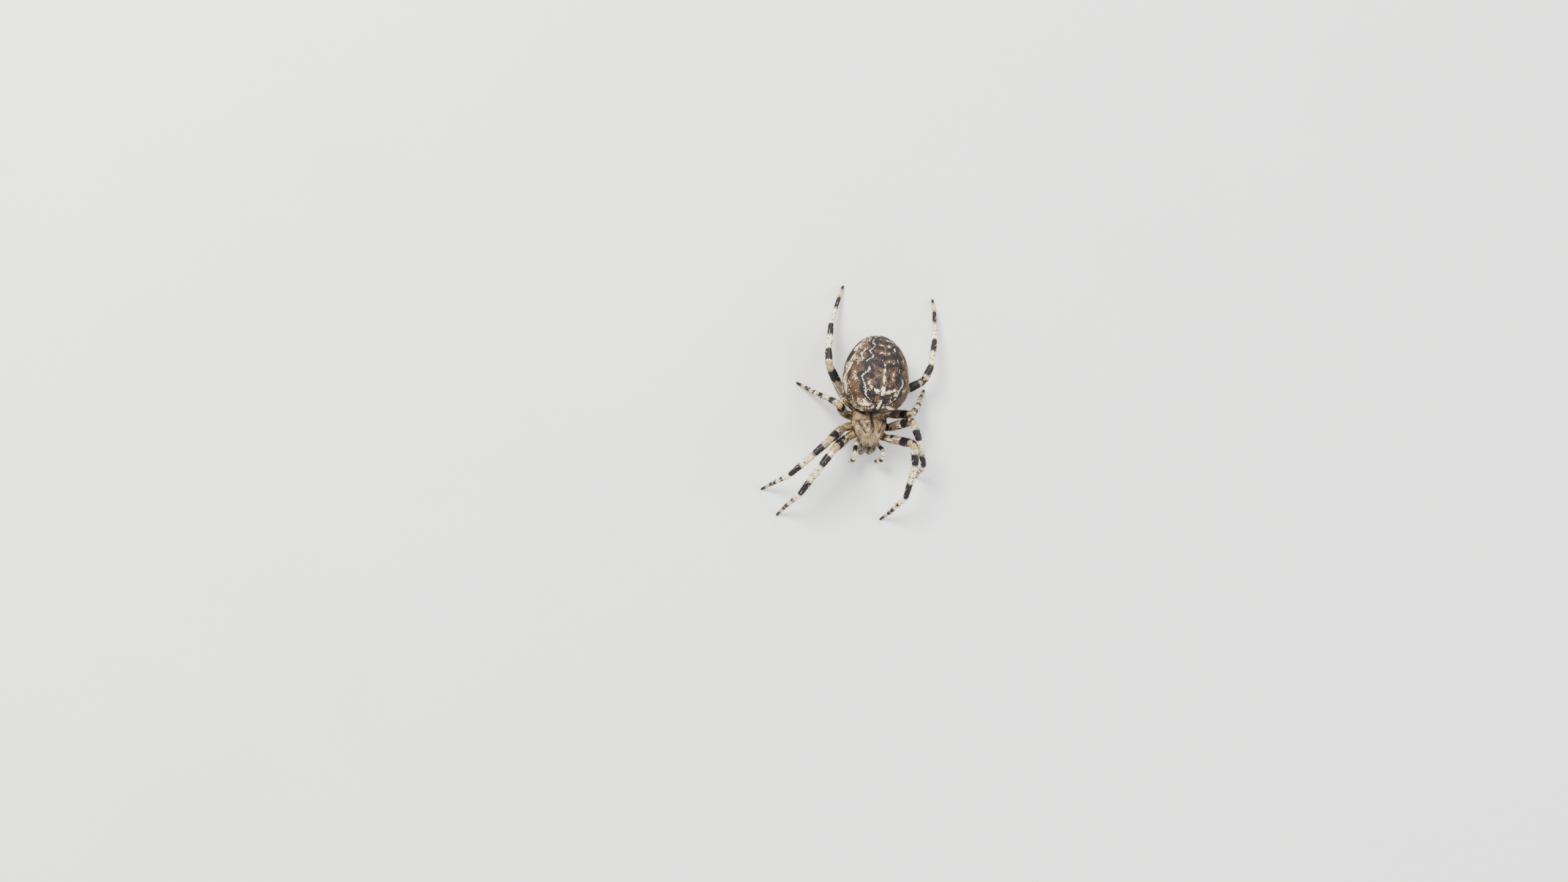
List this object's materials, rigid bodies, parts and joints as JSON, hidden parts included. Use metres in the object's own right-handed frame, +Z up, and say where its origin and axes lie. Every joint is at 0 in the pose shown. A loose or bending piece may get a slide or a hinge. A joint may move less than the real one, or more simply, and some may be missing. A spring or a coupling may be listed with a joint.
{
  "type": "orb weaver spider",
  "caption": "Still life-size model of an orb weaver spider with a large oval patterned abdomen and banded legs, standing on its feet with its legs spread.",
  "frame": {"origin": "middle of the footprint's bounding box, on the floor", "axes": "+Z up from the floor, -Y toward the head, +X toward the spider's left side"},
  "size_m": [0.0224, 0.029, 0.0092],
  "materials": {
    "leg": "fine-haired, cream and brown-black bands, straw-coloured rings at the knees",
    "abdomen": "satin, finely wrinkled, dark with cream markings and short hairs",
    "carapace": "satin brown shell under pale lying hairs",
    "shell": "smooth dark shell",
    "eye": "polished black"
  },
  "bodies": {
    "root": {"abdomen": "abdomen", "carapace": "carapace", "chelicera_L": "shell", "chelicera_R": "shell", "eye_anterior_lateral_L": "eye", "eye_anterior_lateral_R": "eye", "eye_anterior_median_L": "eye", "eye_anterior_median_R": "eye", "eye_posterior_lateral_L": "eye", "eye_posterior_lateral_R": "eye", "eye_posterior_median_L": "eye", "eye_posterior_median_R": "eye", "leg_L1_coxa": "leg", "leg_L1_femur": "leg", "leg_L1_foot": "leg", "leg_L1_patella": "leg", "leg_L1_tibia": "leg", "leg_L2_coxa": "leg", "leg_L2_femur": "leg", "leg_L2_foot": "leg", "leg_L2_patella": "leg", "leg_L2_tibia": "leg", "leg_L3_coxa": "leg", "leg_L3_femur": "leg", "leg_L3_foot": "leg", "leg_L3_patella": "leg", "leg_L3_tibia": "leg", "leg_L4_coxa": "leg", "leg_L4_femur": "leg", "leg_L4_foot": "leg", "leg_L4_patella": "leg", "leg_L4_tibia": "leg", "leg_R1_coxa": "leg", "leg_R1_femur": "leg", "leg_R1_foot": "leg", "leg_R1_patella": "leg", "leg_R1_tibia": "leg", "leg_R2_coxa": "leg", "leg_R2_femur": "leg", "leg_R2_foot": "leg", "leg_R2_patella": "leg", "leg_R2_tibia": "leg", "leg_R3_coxa": "leg", "leg_R3_femur": "leg", "leg_R3_foot": "leg", "leg_R3_patella": "leg", "leg_R3_tibia": "leg", "leg_R4_coxa": "leg", "leg_R4_femur": "leg", "leg_R4_foot": "leg", "leg_R4_patella": "leg", "leg_R4_tibia": "leg", "maxilla_L": "shell", "maxilla_R": "shell", "palp_L": "leg", "palp_R": "leg", "pedicel": "abdomen", "spinnerets": "abdomen", "sternum": "shell"}
  },
  "joints": []
}
